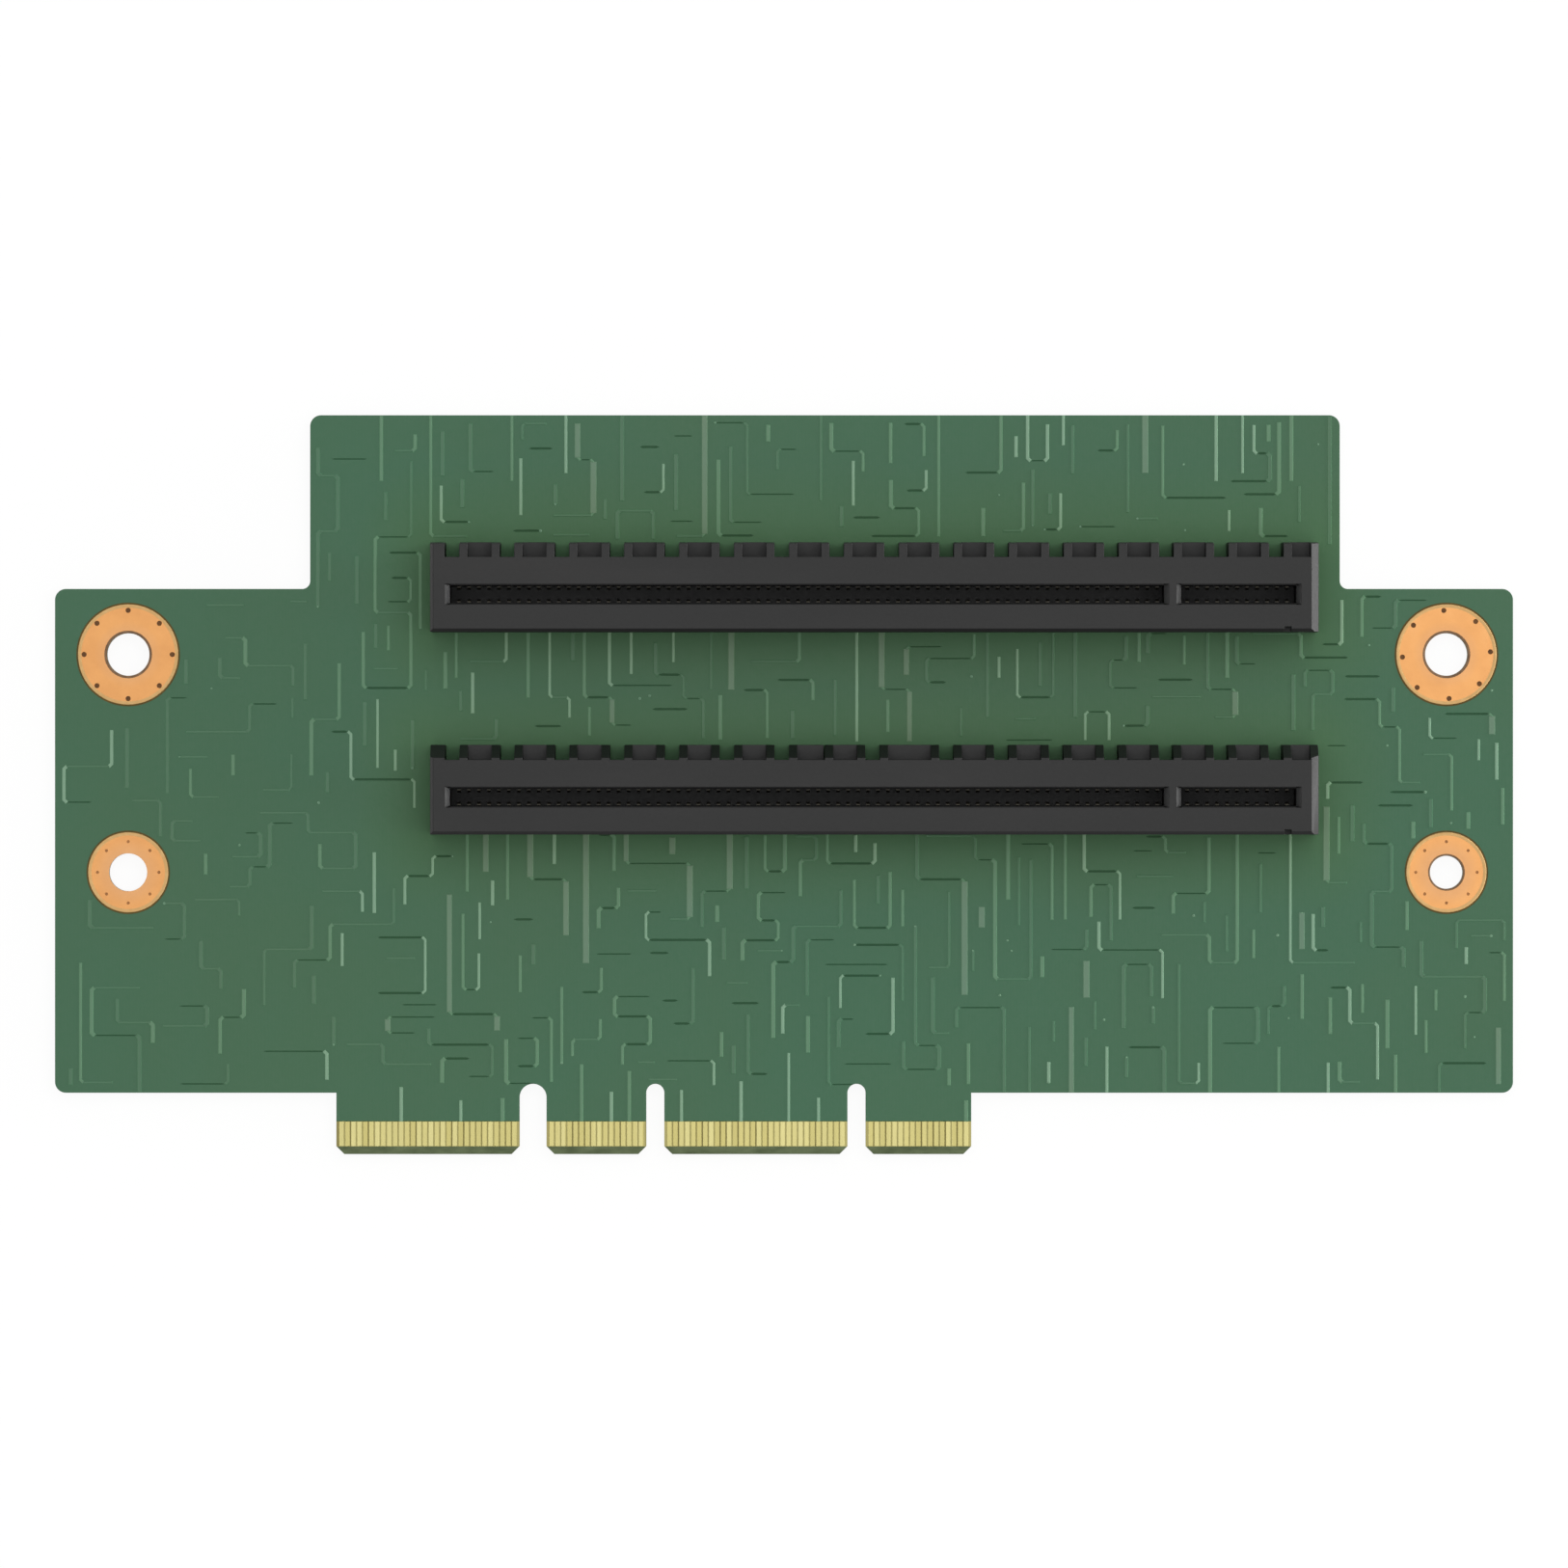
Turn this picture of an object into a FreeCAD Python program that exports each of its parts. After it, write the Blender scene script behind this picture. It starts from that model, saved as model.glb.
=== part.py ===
"""PCIe riser card: a printed board with two x16 card slots and a four-section edge tongue.

The card lies on its back. Millimetres, +Z up, +X along the slots, +Y away from the tongue. The origin
is under the middle of the card, on the surface that the slots' locating pegs stand on.
"""
import FreeCAD, Part
import os
import Sketcher

doc = FreeCAD.newDocument("riser_card")

# ---------------------------------------------------------------- driving dimensions

SIZES = (
    # board outline
    ("board_width", 146.8),
    ("board_thickness", 1.57),
    ("body_height", 50.73),
    ("head_height", 17.49),
    ("head_left_step", 25.69),
    ("head_right_step", 17.44),
    ("outer_corner_radius", 1.1),
    ("inner_corner_radius", 0.8),
    # edge tongue and its gold fingers
    ("tongue_height", 6.18),
    ("tongue_from_left", 28.33),
    ("finger_pitch", 0.6),
    ("finger_width", 0.44),
    ("finger_length", 2.52),
    ("finger_thickness", 0.05),
    ("finger_edge_margin", 0.22),
    ("wide_notch", 2.72),
    ("narrow_notch", 1.82),
    ("notch_above_body_edge", 0.9),
    ("tongue_corner", 0.8),
    ("bevel_length", 0.78),
    ("bevel_depth", 0.28),
    ("wide_section_fingers", 30),
    ("second_section_fingers", 16),
    ("last_section_fingers", 17),
    # mounting holes and the copper rings round them
    ("upper_hole_radius", 2.14),
    ("upper_ring_inner_radius", 2.5),
    ("upper_ring_outer_radius", 5.04),
    ("upper_hole_from_shoulder", 6.6),
    ("lower_left_hole_radius", 1.92),
    ("lower_right_hole_radius", 1.66),
    ("lower_ring_inner_radius", 1.92),
    ("lower_ring_outer_radius", 4.02),
    ("lower_hole_from_body_edge", 22.2),
    ("ring_thickness", 0.05),
    ("hole_from_left_side", 7.38),
    ("hole_from_right_side", 6.72),
    # slots on the board
    ("slot_from_left", 37.95),
    ("lower_slot_from_body_edge", 29.77),
    ("slot_spacing", 20.32),
    # slot housing
    ("housing_width", 7.5),
    ("housing_height", 11.25),
    ("left_end_wall", 2.0),
    ("right_end_wall", 2.26),
    ("key_width", 1.74),
    ("opening_width", 1.76),
    ("opening_depth", 8.9),
    ("side_lead_in", 0.15),
    ("end_lead_in", 0.5),
    ("right_end_chamfer", 0.72),
    ("left_end_chamfer", 0.3),
    ("long_edge_chamfer", 0.3),
    ("mark_width", 0.7),
    ("mark_depth", 0.5),
    ("mark_height", 2.0),
    ("mark_from_right_end", 3.08),
    # contact cells and contacts
    ("contact_pitch", 1.0),
    ("first_contact_from_key", 1.5),
    ("last_contact_margin", 0.87),
    ("long_row_contacts", 71),
    ("short_row_contacts", 11),
    ("cell_width", 0.66),
    ("cell_depth", 0.62),
    ("cell_height", 7.6),
    ("contact_side_clearance", 0.1),
    ("contact_back_clearance", 0.08),
    ("contact_foot", 0.36),
    ("contact_height", 7.0),
    ("contact_gap", 1.06),
    # moulded teeth along the upper long side of each housing
    ("tooth_count", 15),
    ("tooth_depth", 1.5),
    ("tooth_gap", 1.46),
    ("tooth_start", 2.93),
    ("end_tooth_width", 3.53),
    ("rib_width", 0.82),
    ("ledge_height", 7.5),
    ("left_block_width", 1.45),
    ("upper_rib_rake", 0.15),
    ("lower_rib_rake", 1.3),
    ("narrow_tooth", 3.5),
    ("tooth_slit", 0.1),
    # locating pegs
    ("peg_radius", 1.15),
    ("peg_clearance", 0.06),
    ("peg_from_left_end", 1.45),
    ("peg_reach", 1.0),
)

sheet = doc.addObject("Spreadsheet::Sheet", "Sizes")
for row, (alias, value) in enumerate(SIZES, start=1):
    sheet.set("A%d" % row, alias)
    sheet.set("B%d" % row, str(value))
    sheet.setAlias("B%d" % row, alias)
doc.recompute()


class Size:
    """A length or count together with the sheet expression that gives it."""

    def __init__(self, value, text):
        self.value = float(value)
        self.text = text

    def __add__(self, other):
        other = size(other)
        return Size(self.value + other.value, "(%s + %s)" % (self.text, other.text))

    def __sub__(self, other):
        other = size(other)
        return Size(self.value - other.value, "(%s - %s)" % (self.text, other.text))

    def __mul__(self, factor):
        factor = size(factor)
        return Size(self.value * factor.value, "(%s * %s)" % (self.text, factor.text))

    def __truediv__(self, divisor):
        divisor = size(divisor)
        return Size(self.value / divisor.value, "(%s / %s)" % (self.text, divisor.text))

    def __neg__(self):
        return Size(-self.value, "(0 - %s)" % self.text)


def size(number):
    """A plain number as a Size."""
    return number if isinstance(number, Size) else Size(number, repr(number))


def S(alias):
    """The named cell of the sheet."""
    return Size(sheet.get(alias), "Sizes." + alias)


# ---------------------------------------------------------------- places worked out from them

tongue_foot = -(S("tongue_height") + S("body_height") + S("head_height")) / 2
body_edge = tongue_foot + S("tongue_height")
shoulder = body_edge + S("body_height")
head_edge = shoulder + S("head_height")
half_width = S("board_width") / 2

board_back = S("peg_reach")
board_front = board_back + S("board_thickness")

housing_length = (
    (S("long_row_contacts") + S("short_row_contacts") - 2) * S("contact_pitch")
    + (S("first_contact_from_key") + S("last_contact_margin")) * 2
    + S("left_end_wall")
    + S("right_end_wall")
)
key_middle = (
    S("left_end_wall")
    + S("last_contact_margin")
    + (S("long_row_contacts") - 1) * S("contact_pitch")
    + S("first_contact_from_key")
)
opening_floor = S("housing_height") - S("opening_depth")
half_opening = S("opening_width") / 2
half_housing = S("housing_width") / 2

tooth_pitch = (housing_length - S("tooth_start") - S("end_tooth_width")) / S("tooth_count")
tooth_width = tooth_pitch - S("tooth_gap")

lower_slot_y = body_edge + S("lower_slot_from_body_edge")
upper_slot_y = lower_slot_y + S("slot_spacing")
slot_x = S("slot_from_left") - half_width
peg_places = (S("peg_from_left_end"), key_middle)

# first contact of each row, how many there are, and whether they run towards the left end
long_row = (key_middle - S("first_contact_from_key"), S("long_row_contacts"), True)
short_row = (key_middle + S("first_contact_from_key"), S("short_row_contacts"), False)

left_hole_x = S("hole_from_left_side") - half_width
right_hole_x = half_width - S("hole_from_right_side")
upper_hole_y = shoulder - S("upper_hole_from_shoulder")
lower_hole_y = body_edge + S("lower_hole_from_body_edge")

# ---------------------------------------------------------------- modelling helpers

TOUCH = 0.001  # points nearer than this are the same


def new_body(name, x=0, y=0, z=0):
    """A PartDesign body whose own frame stands at x, y, z."""
    body = doc.addObject("PartDesign::Body", name)
    body.Label = name
    body.AllowCompound = True
    for axis, place in zip("xyz", (x, y, z)):
        body.setExpression(".Placement.Base." + axis, size(place).text)
    return body


def origin_feature(body, role):
    """The body's own origin plane or axis of that role."""
    return [item for item in body.Origin.OriginFeatures if item.Role == role][0]


def new_sketch(body, title, plane="XY_Plane", lift=0):
    """An empty sketch on one of the body's origin planes, lifted along the plane's normal."""
    sketch = body.newObject("Sketcher::SketchObject", body.Name + "_" + title)
    sketch.AttachmentSupport = [(origin_feature(body, plane), "")]
    sketch.MapMode = "FlatFace"
    sketch.setExpression(".AttachmentOffset.Base.z", size(lift).text)
    return sketch


def pin_point(sketch, geometry, end, x, y):
    """Hold one point of a sketch at x, y from the sketch's origin."""
    for kind, place in (("DistanceX", x), ("DistanceY", y)):
        index = sketch.addConstraint(Sketcher.Constraint(kind, -1, 1, geometry, end, place.value))
        sketch.setExpression("Constraints[%d]" % index, place.text)


def add_polygon(sketch, points):
    """A closed outline through the given points."""
    points = [(size(x), size(y)) for x, y in points]
    vectors = [FreeCAD.Vector(x.value, y.value, 0) for x, y in points]
    first = sketch.GeometryCount
    count = len(points)
    for start, finish in zip(vectors, vectors[1:] + vectors[:1]):
        sketch.addGeometry(Part.LineSegment(start, finish), False)
    for step in range(count):
        following = first + (step + 1) % count
        sketch.addConstraint(Sketcher.Constraint("Coincident", first + step, 2, following, 1))
    for step, (x, y) in enumerate(points):
        pin_point(sketch, first + step, 1, x, y)


def add_rectangle(sketch, low_x, low_y, high_x, high_y):
    """A closed rectangle between two corners."""
    add_polygon(sketch, ((low_x, low_y), (high_x, low_y), (high_x, high_y), (low_x, high_y)))


def add_circle(sketch, x, y, radius):
    """A circle about x, y."""
    x, y, radius = size(x), size(y), size(radius)
    middle = FreeCAD.Vector(x.value, y.value, 0)
    circle = Part.Circle(middle, FreeCAD.Vector(0, 0, 1), radius.value)
    index = sketch.addGeometry(circle, False)
    pin_point(sketch, index, 3, x, y)
    radial = sketch.addConstraint(Sketcher.Constraint("Radius", index, radius.value))
    sketch.setExpression("Constraints[%d]" % radial, radius.text)


def add_feature(body, kind, sketch, length, midplane=False, reverse=False):
    """A Pad or Pocket of the sketch."""
    feature = body.newObject("PartDesign::" + kind, sketch.Name + "_" + kind.lower())
    feature.Profile = sketch
    feature.Midplane = midplane
    feature.Reversed = reverse
    feature.setExpression("Length", size(length).text)
    body.Tip = feature
    doc.recompute()
    return feature


def pad(body, sketch, length, midplane=False, reverse=False):
    """A Pad of the sketch."""
    return add_feature(body, "Pad", sketch, length, midplane, reverse)


def pocket(body, sketch, length, midplane=False, reverse=False):
    """A Pocket, which has to take something away."""
    volume = body.Shape.Volume
    feature = add_feature(body, "Pocket", sketch, length, midplane, reverse)
    if not feature.Shape.Volume < volume:
        raise ValueError(feature.Label + " cuts nothing")
    return feature


def repeat(body, features, count, pitch, backwards=False):
    """Copies of the features along the body's X axis."""
    pattern = body.newObject("PartDesign::LinearPattern", features[0].Name + "_row")
    pattern.Originals = features
    pattern.Direction = (origin_feature(body, "X_Axis"), [""])
    pattern.Reversed = backwards
    pattern.Mode = "Spacing"
    pattern.setExpression("Offset", size(pitch).text)
    pattern.setExpression("Occurrences", size(count).text)
    body.Tip = pattern
    doc.recompute()
    return pattern


def meet(first, second):
    """Whether two places in plan are the same."""
    return abs(first[0] - second[0]) < TOUCH and abs(first[1] - second[1]) < TOUCH


def dress_edges(body, kind, chosen, count, amount):
    """A Fillet or Chamfer on the edges whose two end points are chosen, of which there are count."""
    base = body.Tip
    names = []
    for number, edge in enumerate(base.Shape.Edges, start=1):
        ends = [vertex.Point for vertex in edge.Vertexes]
        if len(ends) == 2 and chosen(*ends):
            names.append("Edge%d" % number)
    if len(names) != count:
        raise ValueError("%s: %d edges found, not %d" % (body.Label, len(names), count))
    feature = body.newObject("PartDesign::" + kind, base.Name + "_" + kind.lower())
    feature.Base = (base, names)
    feature.setExpression("Radius" if kind == "Fillet" else "Size", size(amount).text)
    body.Tip = feature
    doc.recompute()


def dress_corners(body, kind, corners, amount):
    """A Fillet or Chamfer on the upright edges at the given corners of an outline."""
    places = [(x.value, y.value) for x, y in corners]

    def is_corner(start, finish):
        upright = meet((start.x, start.y), (finish.x, finish.y))
        return upright and any(meet((start.x, start.y), place) for place in places)

    dress_edges(body, kind, is_corner, len(places), amount)


# ---------------------------------------------------------------- board


def tongue_sections():
    """Left and right ends of the tongue's four sections, with the fingers in each."""
    counts = (
        S("wide_section_fingers"),
        S("second_section_fingers"),
        S("wide_section_fingers"),
        S("last_section_fingers"),
    )
    notches = (S("wide_notch"), S("narrow_notch"), S("narrow_notch"), size(0))
    sections = []
    left = S("tongue_from_left") - half_width
    for count, notch in zip(counts, notches):
        right = left + count * S("finger_pitch") + S("finger_edge_margin") * 2
        sections.append((left, right, count))
        left = right + notch
    return sections


def make_board():
    """The laminate with its stepped outline, notched and bevelled tongue, and holes."""
    body = new_body("riser_board", z=board_back)
    sections = tongue_sections()
    tongue_left, tongue_right = sections[0][0], sections[-1][1]
    head_left = S("head_left_step") - half_width
    head_right = half_width - S("head_right_step")

    outline = new_sketch(body, "outline")
    add_polygon(
        outline,
        (
            (-half_width, body_edge),
            (tongue_left, body_edge),
            (tongue_left, tongue_foot),
            (tongue_right, tongue_foot),
            (tongue_right, body_edge),
            (half_width, body_edge),
            (half_width, shoulder),
            (head_right, shoulder),
            (head_right, head_edge),
            (head_left, head_edge),
            (head_left, shoulder),
            (-half_width, shoulder),
        ),
    )
    pad(body, outline, S("board_thickness"))

    # notches between the sections, each ending in a half round
    through = S("board_thickness") * 3
    straight = new_sketch(body, "notches")
    rounds = new_sketch(body, "notch_ends")
    for (left, right, count), (next_left, next_right, next_count) in zip(sections, sections[1:]):
        half_notch = (next_left - right) / 2
        notch_top = body_edge + S("notch_above_body_edge") - half_notch
        add_rectangle(straight, right, tongue_foot - S("tongue_height"), next_left, notch_top)
        add_circle(rounds, right + half_notch, notch_top, half_notch)
    pocket(body, straight, through, midplane=True)
    pocket(body, rounds, through, midplane=True)

    outer_corners = (
        (-half_width, body_edge),
        (half_width, body_edge),
        (half_width, shoulder),
        (head_right, head_edge),
        (head_left, head_edge),
        (-half_width, shoulder),
    )
    inner_corners = ((head_right, shoulder), (head_left, shoulder))
    tongue_corners = [(x, tongue_foot) for left, right, count in sections for x in (left, right)]
    dress_corners(body, "Fillet", outer_corners, S("outer_corner_radius"))
    dress_corners(body, "Fillet", inner_corners, S("inner_corner_radius"))
    dress_corners(body, "Chamfer", tongue_corners, S("tongue_corner"))

    # insertion bevel on both faces of the tongue's edge
    bevel = new_sketch(body, "bevel", "YZ_Plane")
    bevel_start = tongue_foot + S("bevel_length")
    front, back = S("board_thickness"), size(0)
    for face, cut in ((front, -S("bevel_depth")), (back, S("bevel_depth"))):
        add_polygon(bevel, ((tongue_foot, face), (bevel_start, face), (tongue_foot, face + cut)))
    pocket(body, bevel, S("board_width") * 2, midplane=True)

    holes = new_sketch(body, "holes")
    add_circle(holes, left_hole_x, upper_hole_y, S("upper_hole_radius"))
    add_circle(holes, right_hole_x, upper_hole_y, S("upper_hole_radius"))
    add_circle(holes, left_hole_x, lower_hole_y, S("lower_left_hole_radius"))
    add_circle(holes, right_hole_x, lower_hole_y, S("lower_right_hole_radius"))
    for y in (upper_slot_y, lower_slot_y):
        for x in peg_places:
            add_circle(holes, slot_x + x, y, S("peg_radius") + S("peg_clearance"))
    pocket(body, holes, through, midplane=True)
    return body


# ---------------------------------------------------------------- copper


def make_rings(name, hole_y, inner, outer):
    """A left and a right copper ring round one pair of mounting holes, on the front face."""
    body = new_body(name, z=board_front)
    sketch = new_sketch(body, "outline")
    for x in (left_hole_x, right_hole_x):
        add_circle(sketch, x, hole_y, inner)
        add_circle(sketch, x, hole_y, outer)
    pad(body, sketch, S("ring_thickness"))
    return body


def make_fingers(name, section, z):
    """One section's row of gold edge fingers, on one face."""
    left, right, count = section
    body = new_body(name, z=z)
    sketch = new_sketch(body, "outline")
    first = left + S("finger_edge_margin") + (S("finger_pitch") - S("finger_width")) / 2
    foot = tongue_foot + S("bevel_length")
    add_rectangle(sketch, first, foot, first + S("finger_width"), foot + S("finger_length"))
    finger = pad(body, sketch, S("finger_thickness"))
    repeat(body, [finger], count, S("finger_pitch"))
    return body


# ---------------------------------------------------------------- slots


def add_blocks(body, title, spans, height):
    """Upright blocks against the toothed side, one over each (left end, width)."""
    sketch = new_sketch(body, title)
    for left, width in spans:
        add_rectangle(sketch, left, half_housing, left + width, half_housing + S("tooth_depth"))
    return pad(body, sketch, height)


def tooth_ribs(left, width):
    """The two ribs at the ends of one tooth."""
    return [(left, S("rib_width")), (left + width - S("rib_width"), S("rib_width"))]


def add_even_teeth(body, title, first, count):
    """A run of equal teeth, each a low ledge between two ribs, from the place numbered first."""
    left = S("tooth_start") + tooth_pitch * first
    ledge = add_blocks(body, title + "_ledge", [(left, tooth_width)], S("ledge_height"))
    ribs = add_blocks(body, title + "_ribs", tooth_ribs(left, tooth_width), S("housing_height"))
    repeat(body, [ledge, ribs], count, tooth_pitch)


def middle_teeth(first, places):
    """Ledges and ribs of a narrow, an even and a wide tooth, which fill that many places.

    The first two are parted only by a slit, and the narrow one has no rib there.
    """
    narrow = S("narrow_tooth")
    left = S("tooth_start") + tooth_pitch * first
    stop = left + tooth_pitch * places - S("tooth_gap")
    second = left + narrow + S("tooth_slit")
    wide = second + tooth_width + S("tooth_gap")
    ledges = [(left, narrow), (second, tooth_width), (wide, stop - wide)]
    ribs = [rib for ledge in ledges for rib in tooth_ribs(*ledge)]
    del ribs[1]
    return ledges, ribs


def add_teeth(body, rake, has_middle_teeth):
    """The end block, all the teeth, and the rake of their ribs above the ledges."""
    end_tooth = (housing_length - S("end_tooth_width"), S("end_tooth_width"))
    ledges = [end_tooth]
    ribs = [(size(0), S("left_block_width"))] + tooth_ribs(*end_tooth)
    if has_middle_teeth:
        before, between = 6, 3
        more_ledges, more_ribs = middle_teeth(before, between)
        ledges += more_ledges
        ribs += more_ribs
        done = before + between
        add_even_teeth(body, "left_teeth", 0, before)
        add_even_teeth(body, "right_teeth", done, S("tooth_count") - done)
    else:
        add_even_teeth(body, "teeth", 0, S("tooth_count"))
    add_blocks(body, "other_ledges", ledges, S("ledge_height"))
    add_blocks(body, "other_ribs", ribs, S("housing_height"))

    front, top = half_housing + S("tooth_depth"), S("housing_height")
    sketch = new_sketch(body, "rake", "YZ_Plane")
    add_polygon(sketch, ((front, S("ledge_height")), (front, top), (front - rake, top)))
    pocket(body, sketch, housing_length * 3, midplane=True)


def trim_edges(body):
    """Chamfers along both ends and the plain long side, and the mark cut into that side."""
    top = S("housing_height")
    right, left = S("right_end_chamfer"), S("left_end_chamfer")
    ends = new_sketch(body, "end_chamfers", "XZ_Plane")
    add_polygon(ends, ((0, top - left), (left, top), (0, top)))
    add_polygon(ends, ((housing_length - right, top), (housing_length, top - right), (housing_length, top)))
    pocket(body, ends, S("housing_width") * 3, midplane=True)

    edge = new_sketch(body, "side_chamfer", "YZ_Plane")
    drop = S("long_edge_chamfer")
    add_polygon(edge, ((-half_housing, top - drop), (drop - half_housing, top), (-half_housing, top)))
    pocket(body, edge, housing_length * 3, midplane=True)

    mark = new_sketch(body, "mark", lift=top)
    left = housing_length - S("mark_from_right_end") - S("mark_width") / 2
    add_rectangle(mark, left, -half_housing, left + S("mark_width"), S("mark_depth") - half_housing)
    pocket(body, mark, S("mark_height"))


def add_openings(body):
    """The two card openings, parted by the key, with a slim lead-in along their sides and a
    wide one at their ends."""
    top = S("housing_height")
    key_left = key_middle - S("key_width") / 2
    key_right = key_middle + S("key_width") / 2
    spans = ((S("left_end_wall"), key_left), (key_right, housing_length - S("right_end_wall")))
    sketch = new_sketch(body, "openings", lift=top)
    for left, right in spans:
        add_rectangle(sketch, left, -half_opening, right, half_opening)
    pocket(body, sketch, S("opening_depth"))

    def is_long_side(start, finish):
        at_mouth = all(
            abs(end.z - top.value) < TOUCH and abs(abs(end.y) - half_opening.value) < TOUCH
            for end in (start, finish)
        )
        return at_mouth and abs(start.y - finish.y) < TOUCH

    dress_edges(body, "Chamfer", is_long_side, 4, S("side_lead_in"))

    ends = new_sketch(body, "end_lead_ins", "XZ_Plane")
    slope = S("end_lead_in")
    for left, right in spans:
        add_polygon(ends, ((left, top - slope), (left, top), (left - slope, top)))
        add_polygon(ends, ((right, top - slope), (right, top), (right + slope, top)))
    pocket(body, ends, S("opening_width") + S("side_lead_in") * 2, midplane=True)


def add_cells(body, title, middle, count, backwards):
    """Contact cells in both walls of an opening, one pair at every contact place.

    Each is deepest at the opening's floor and runs out up the wall, as its contact does.
    """
    sketch = new_sketch(body, title, "YZ_Plane", lift=middle)
    wide = half_opening + S("cell_depth")
    top = opening_floor + S("cell_height")
    corners = ((-wide, opening_floor), (wide, opening_floor), (half_opening, top), (-half_opening, top))
    add_polygon(sketch, corners)
    cell = pocket(body, sketch, S("cell_width"), midplane=True)
    repeat(body, [cell], count, S("contact_pitch"), backwards)


def make_housing(name, y, rake, has_middle_teeth):
    """One moulded x16 slot housing, with its pegs, teeth, openings and contact cells."""
    body = new_body(name, slot_x, y, board_front)
    block = new_sketch(body, "outline")
    add_rectangle(block, 0, -half_housing, housing_length, half_housing)
    pad(body, block, S("housing_height"))

    pegs = new_sketch(body, "pegs")
    for x in peg_places:
        add_circle(pegs, x, 0, S("peg_radius"))
    pad(body, pegs, S("board_thickness") + S("peg_reach"), reverse=True)

    add_openings(body)
    add_teeth(body, rake, has_middle_teeth)
    trim_edges(body)
    add_cells(body, "long_cells", *long_row)
    add_cells(body, "short_cells", *short_row)
    return body


def make_contacts(name, y, side, first, count, backwards):
    """One row of contacts: each stands in its cell and leans out of it into the card opening."""
    body = new_body(name, slot_x, y, board_front)
    sketch = new_sketch(body, "outline", "YZ_Plane", lift=first)
    back = half_opening + S("cell_depth") - S("contact_back_clearance")
    tip = (S("contact_gap") / 2 * side, opening_floor + S("contact_height"))
    foot = ((back * side, opening_floor), ((back - S("contact_foot")) * side, opening_floor))
    add_polygon(sketch, (*foot, tip))
    contact = pad(body, sketch, S("cell_width") - S("contact_side_clearance") * 2, midplane=True)
    repeat(body, [contact], count, S("contact_pitch"), backwards)
    return body


# ---------------------------------------------------------------- the whole card

bodies = [make_board()]

upper_ring = (S("upper_ring_inner_radius"), S("upper_ring_outer_radius"))
lower_ring = (S("lower_ring_inner_radius"), S("lower_ring_outer_radius"))
bodies.append(make_rings("upper_mounting_rings", upper_hole_y, *upper_ring))
bodies.append(make_rings("lower_mounting_rings", lower_hole_y, *lower_ring))

for number, section in enumerate(tongue_sections(), start=1):
    bodies.append(make_fingers("front_fingers_%d" % number, section, board_front))
    back_face = board_back - S("finger_thickness")
    bodies.append(make_fingers("back_fingers_%d" % number, section, back_face))

bodies.append(make_housing("upper_slot_housing", upper_slot_y, S("upper_rib_rake"), False))
bodies.append(make_housing("lower_slot_housing", lower_slot_y, S("lower_rib_rake"), True))

for slot, y in (("upper", upper_slot_y), ("lower", lower_slot_y)):
    for letter, side in (("a", 1), ("b", -1)):
        bodies.append(make_contacts("%s_slot_long_contacts_%s" % (slot, letter), y, side, *long_row))
        bodies.append(make_contacts("%s_slot_short_contacts_%s" % (slot, letter), y, side, *short_row))

doc.recompute()
for item in doc.Objects:
    if "Invalid" in item.State or "Error" in item.State:
        raise ValueError("failed: %s %s" % (item.Label, item.State))
for body in bodies:
    if body.Shape.isNull() or not body.Shape.isValid():
        raise ValueError("bad shape: " + body.Label)

os.makedirs("parts", exist_ok=True)
for body in bodies:
    body.Shape.exportStep("parts/%s.step" % body.Label)
    print("%-28s %3d solids %10.2f mm3" % (body.Label, len(body.Shape.Solids), body.Shape.Volume))
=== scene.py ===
"""Looks of the riser card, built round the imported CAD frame. Metres, in the CAD's own frame."""
import bmesh
import bpy
import math
import random
from collections import namedtuple
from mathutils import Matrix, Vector
from mathutils.geometry import delaunay_2d_cdt


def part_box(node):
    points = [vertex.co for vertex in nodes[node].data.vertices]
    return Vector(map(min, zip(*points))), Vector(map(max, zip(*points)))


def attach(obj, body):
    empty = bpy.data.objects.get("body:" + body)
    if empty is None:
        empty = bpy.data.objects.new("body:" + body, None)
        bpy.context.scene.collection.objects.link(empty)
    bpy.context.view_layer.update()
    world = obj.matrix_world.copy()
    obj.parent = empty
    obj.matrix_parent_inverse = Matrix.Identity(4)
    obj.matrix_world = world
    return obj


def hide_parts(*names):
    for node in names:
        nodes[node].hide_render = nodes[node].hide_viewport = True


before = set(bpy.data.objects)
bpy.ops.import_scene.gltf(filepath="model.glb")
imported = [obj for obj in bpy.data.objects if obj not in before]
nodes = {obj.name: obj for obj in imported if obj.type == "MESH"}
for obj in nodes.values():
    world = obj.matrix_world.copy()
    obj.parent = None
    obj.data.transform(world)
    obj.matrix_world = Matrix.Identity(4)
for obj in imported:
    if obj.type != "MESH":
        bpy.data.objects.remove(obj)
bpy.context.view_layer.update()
scene = bpy.context.scene
MM = 0.001
TAU = math.tau


def placed(name, data):
    """A new object in the scene that holds the data."""
    made = bpy.data.objects.new(name, data)
    scene.collection.objects.link(made)
    return made


# ---------------------------------------------------------------- places read from the frame


def ring_places(node):
    """Left and right centre and outer radius of a pair of rings."""
    low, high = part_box(node)
    radius = (high.y - low.y) / 2
    middle = (high.y + low.y) / 2
    return ((low.x + radius, middle), (high.x - radius, middle)), radius


TIERS = ("upper", "lower")  # the slots and the ring pairs
FINGER_SECTIONS = (1, 2, 3, 4)

board_low, board_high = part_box("riser_board")
FRONT, BACK = board_high.z, board_low.z
SIDES = {"front": (FRONT, 1), "back": (BACK, -1)}  # level of each face and the way it looks

ring_pairs = {tier: ring_places(tier + "_mounting_rings") for tier in TIERS}
housings = {tier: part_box(tier + "_slot_housing") for tier in TIERS}
finger_low, finger_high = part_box("front_fingers_1")
FINGER_TOP, FINGER_FOOT = finger_high.y, finger_low.y

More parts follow.
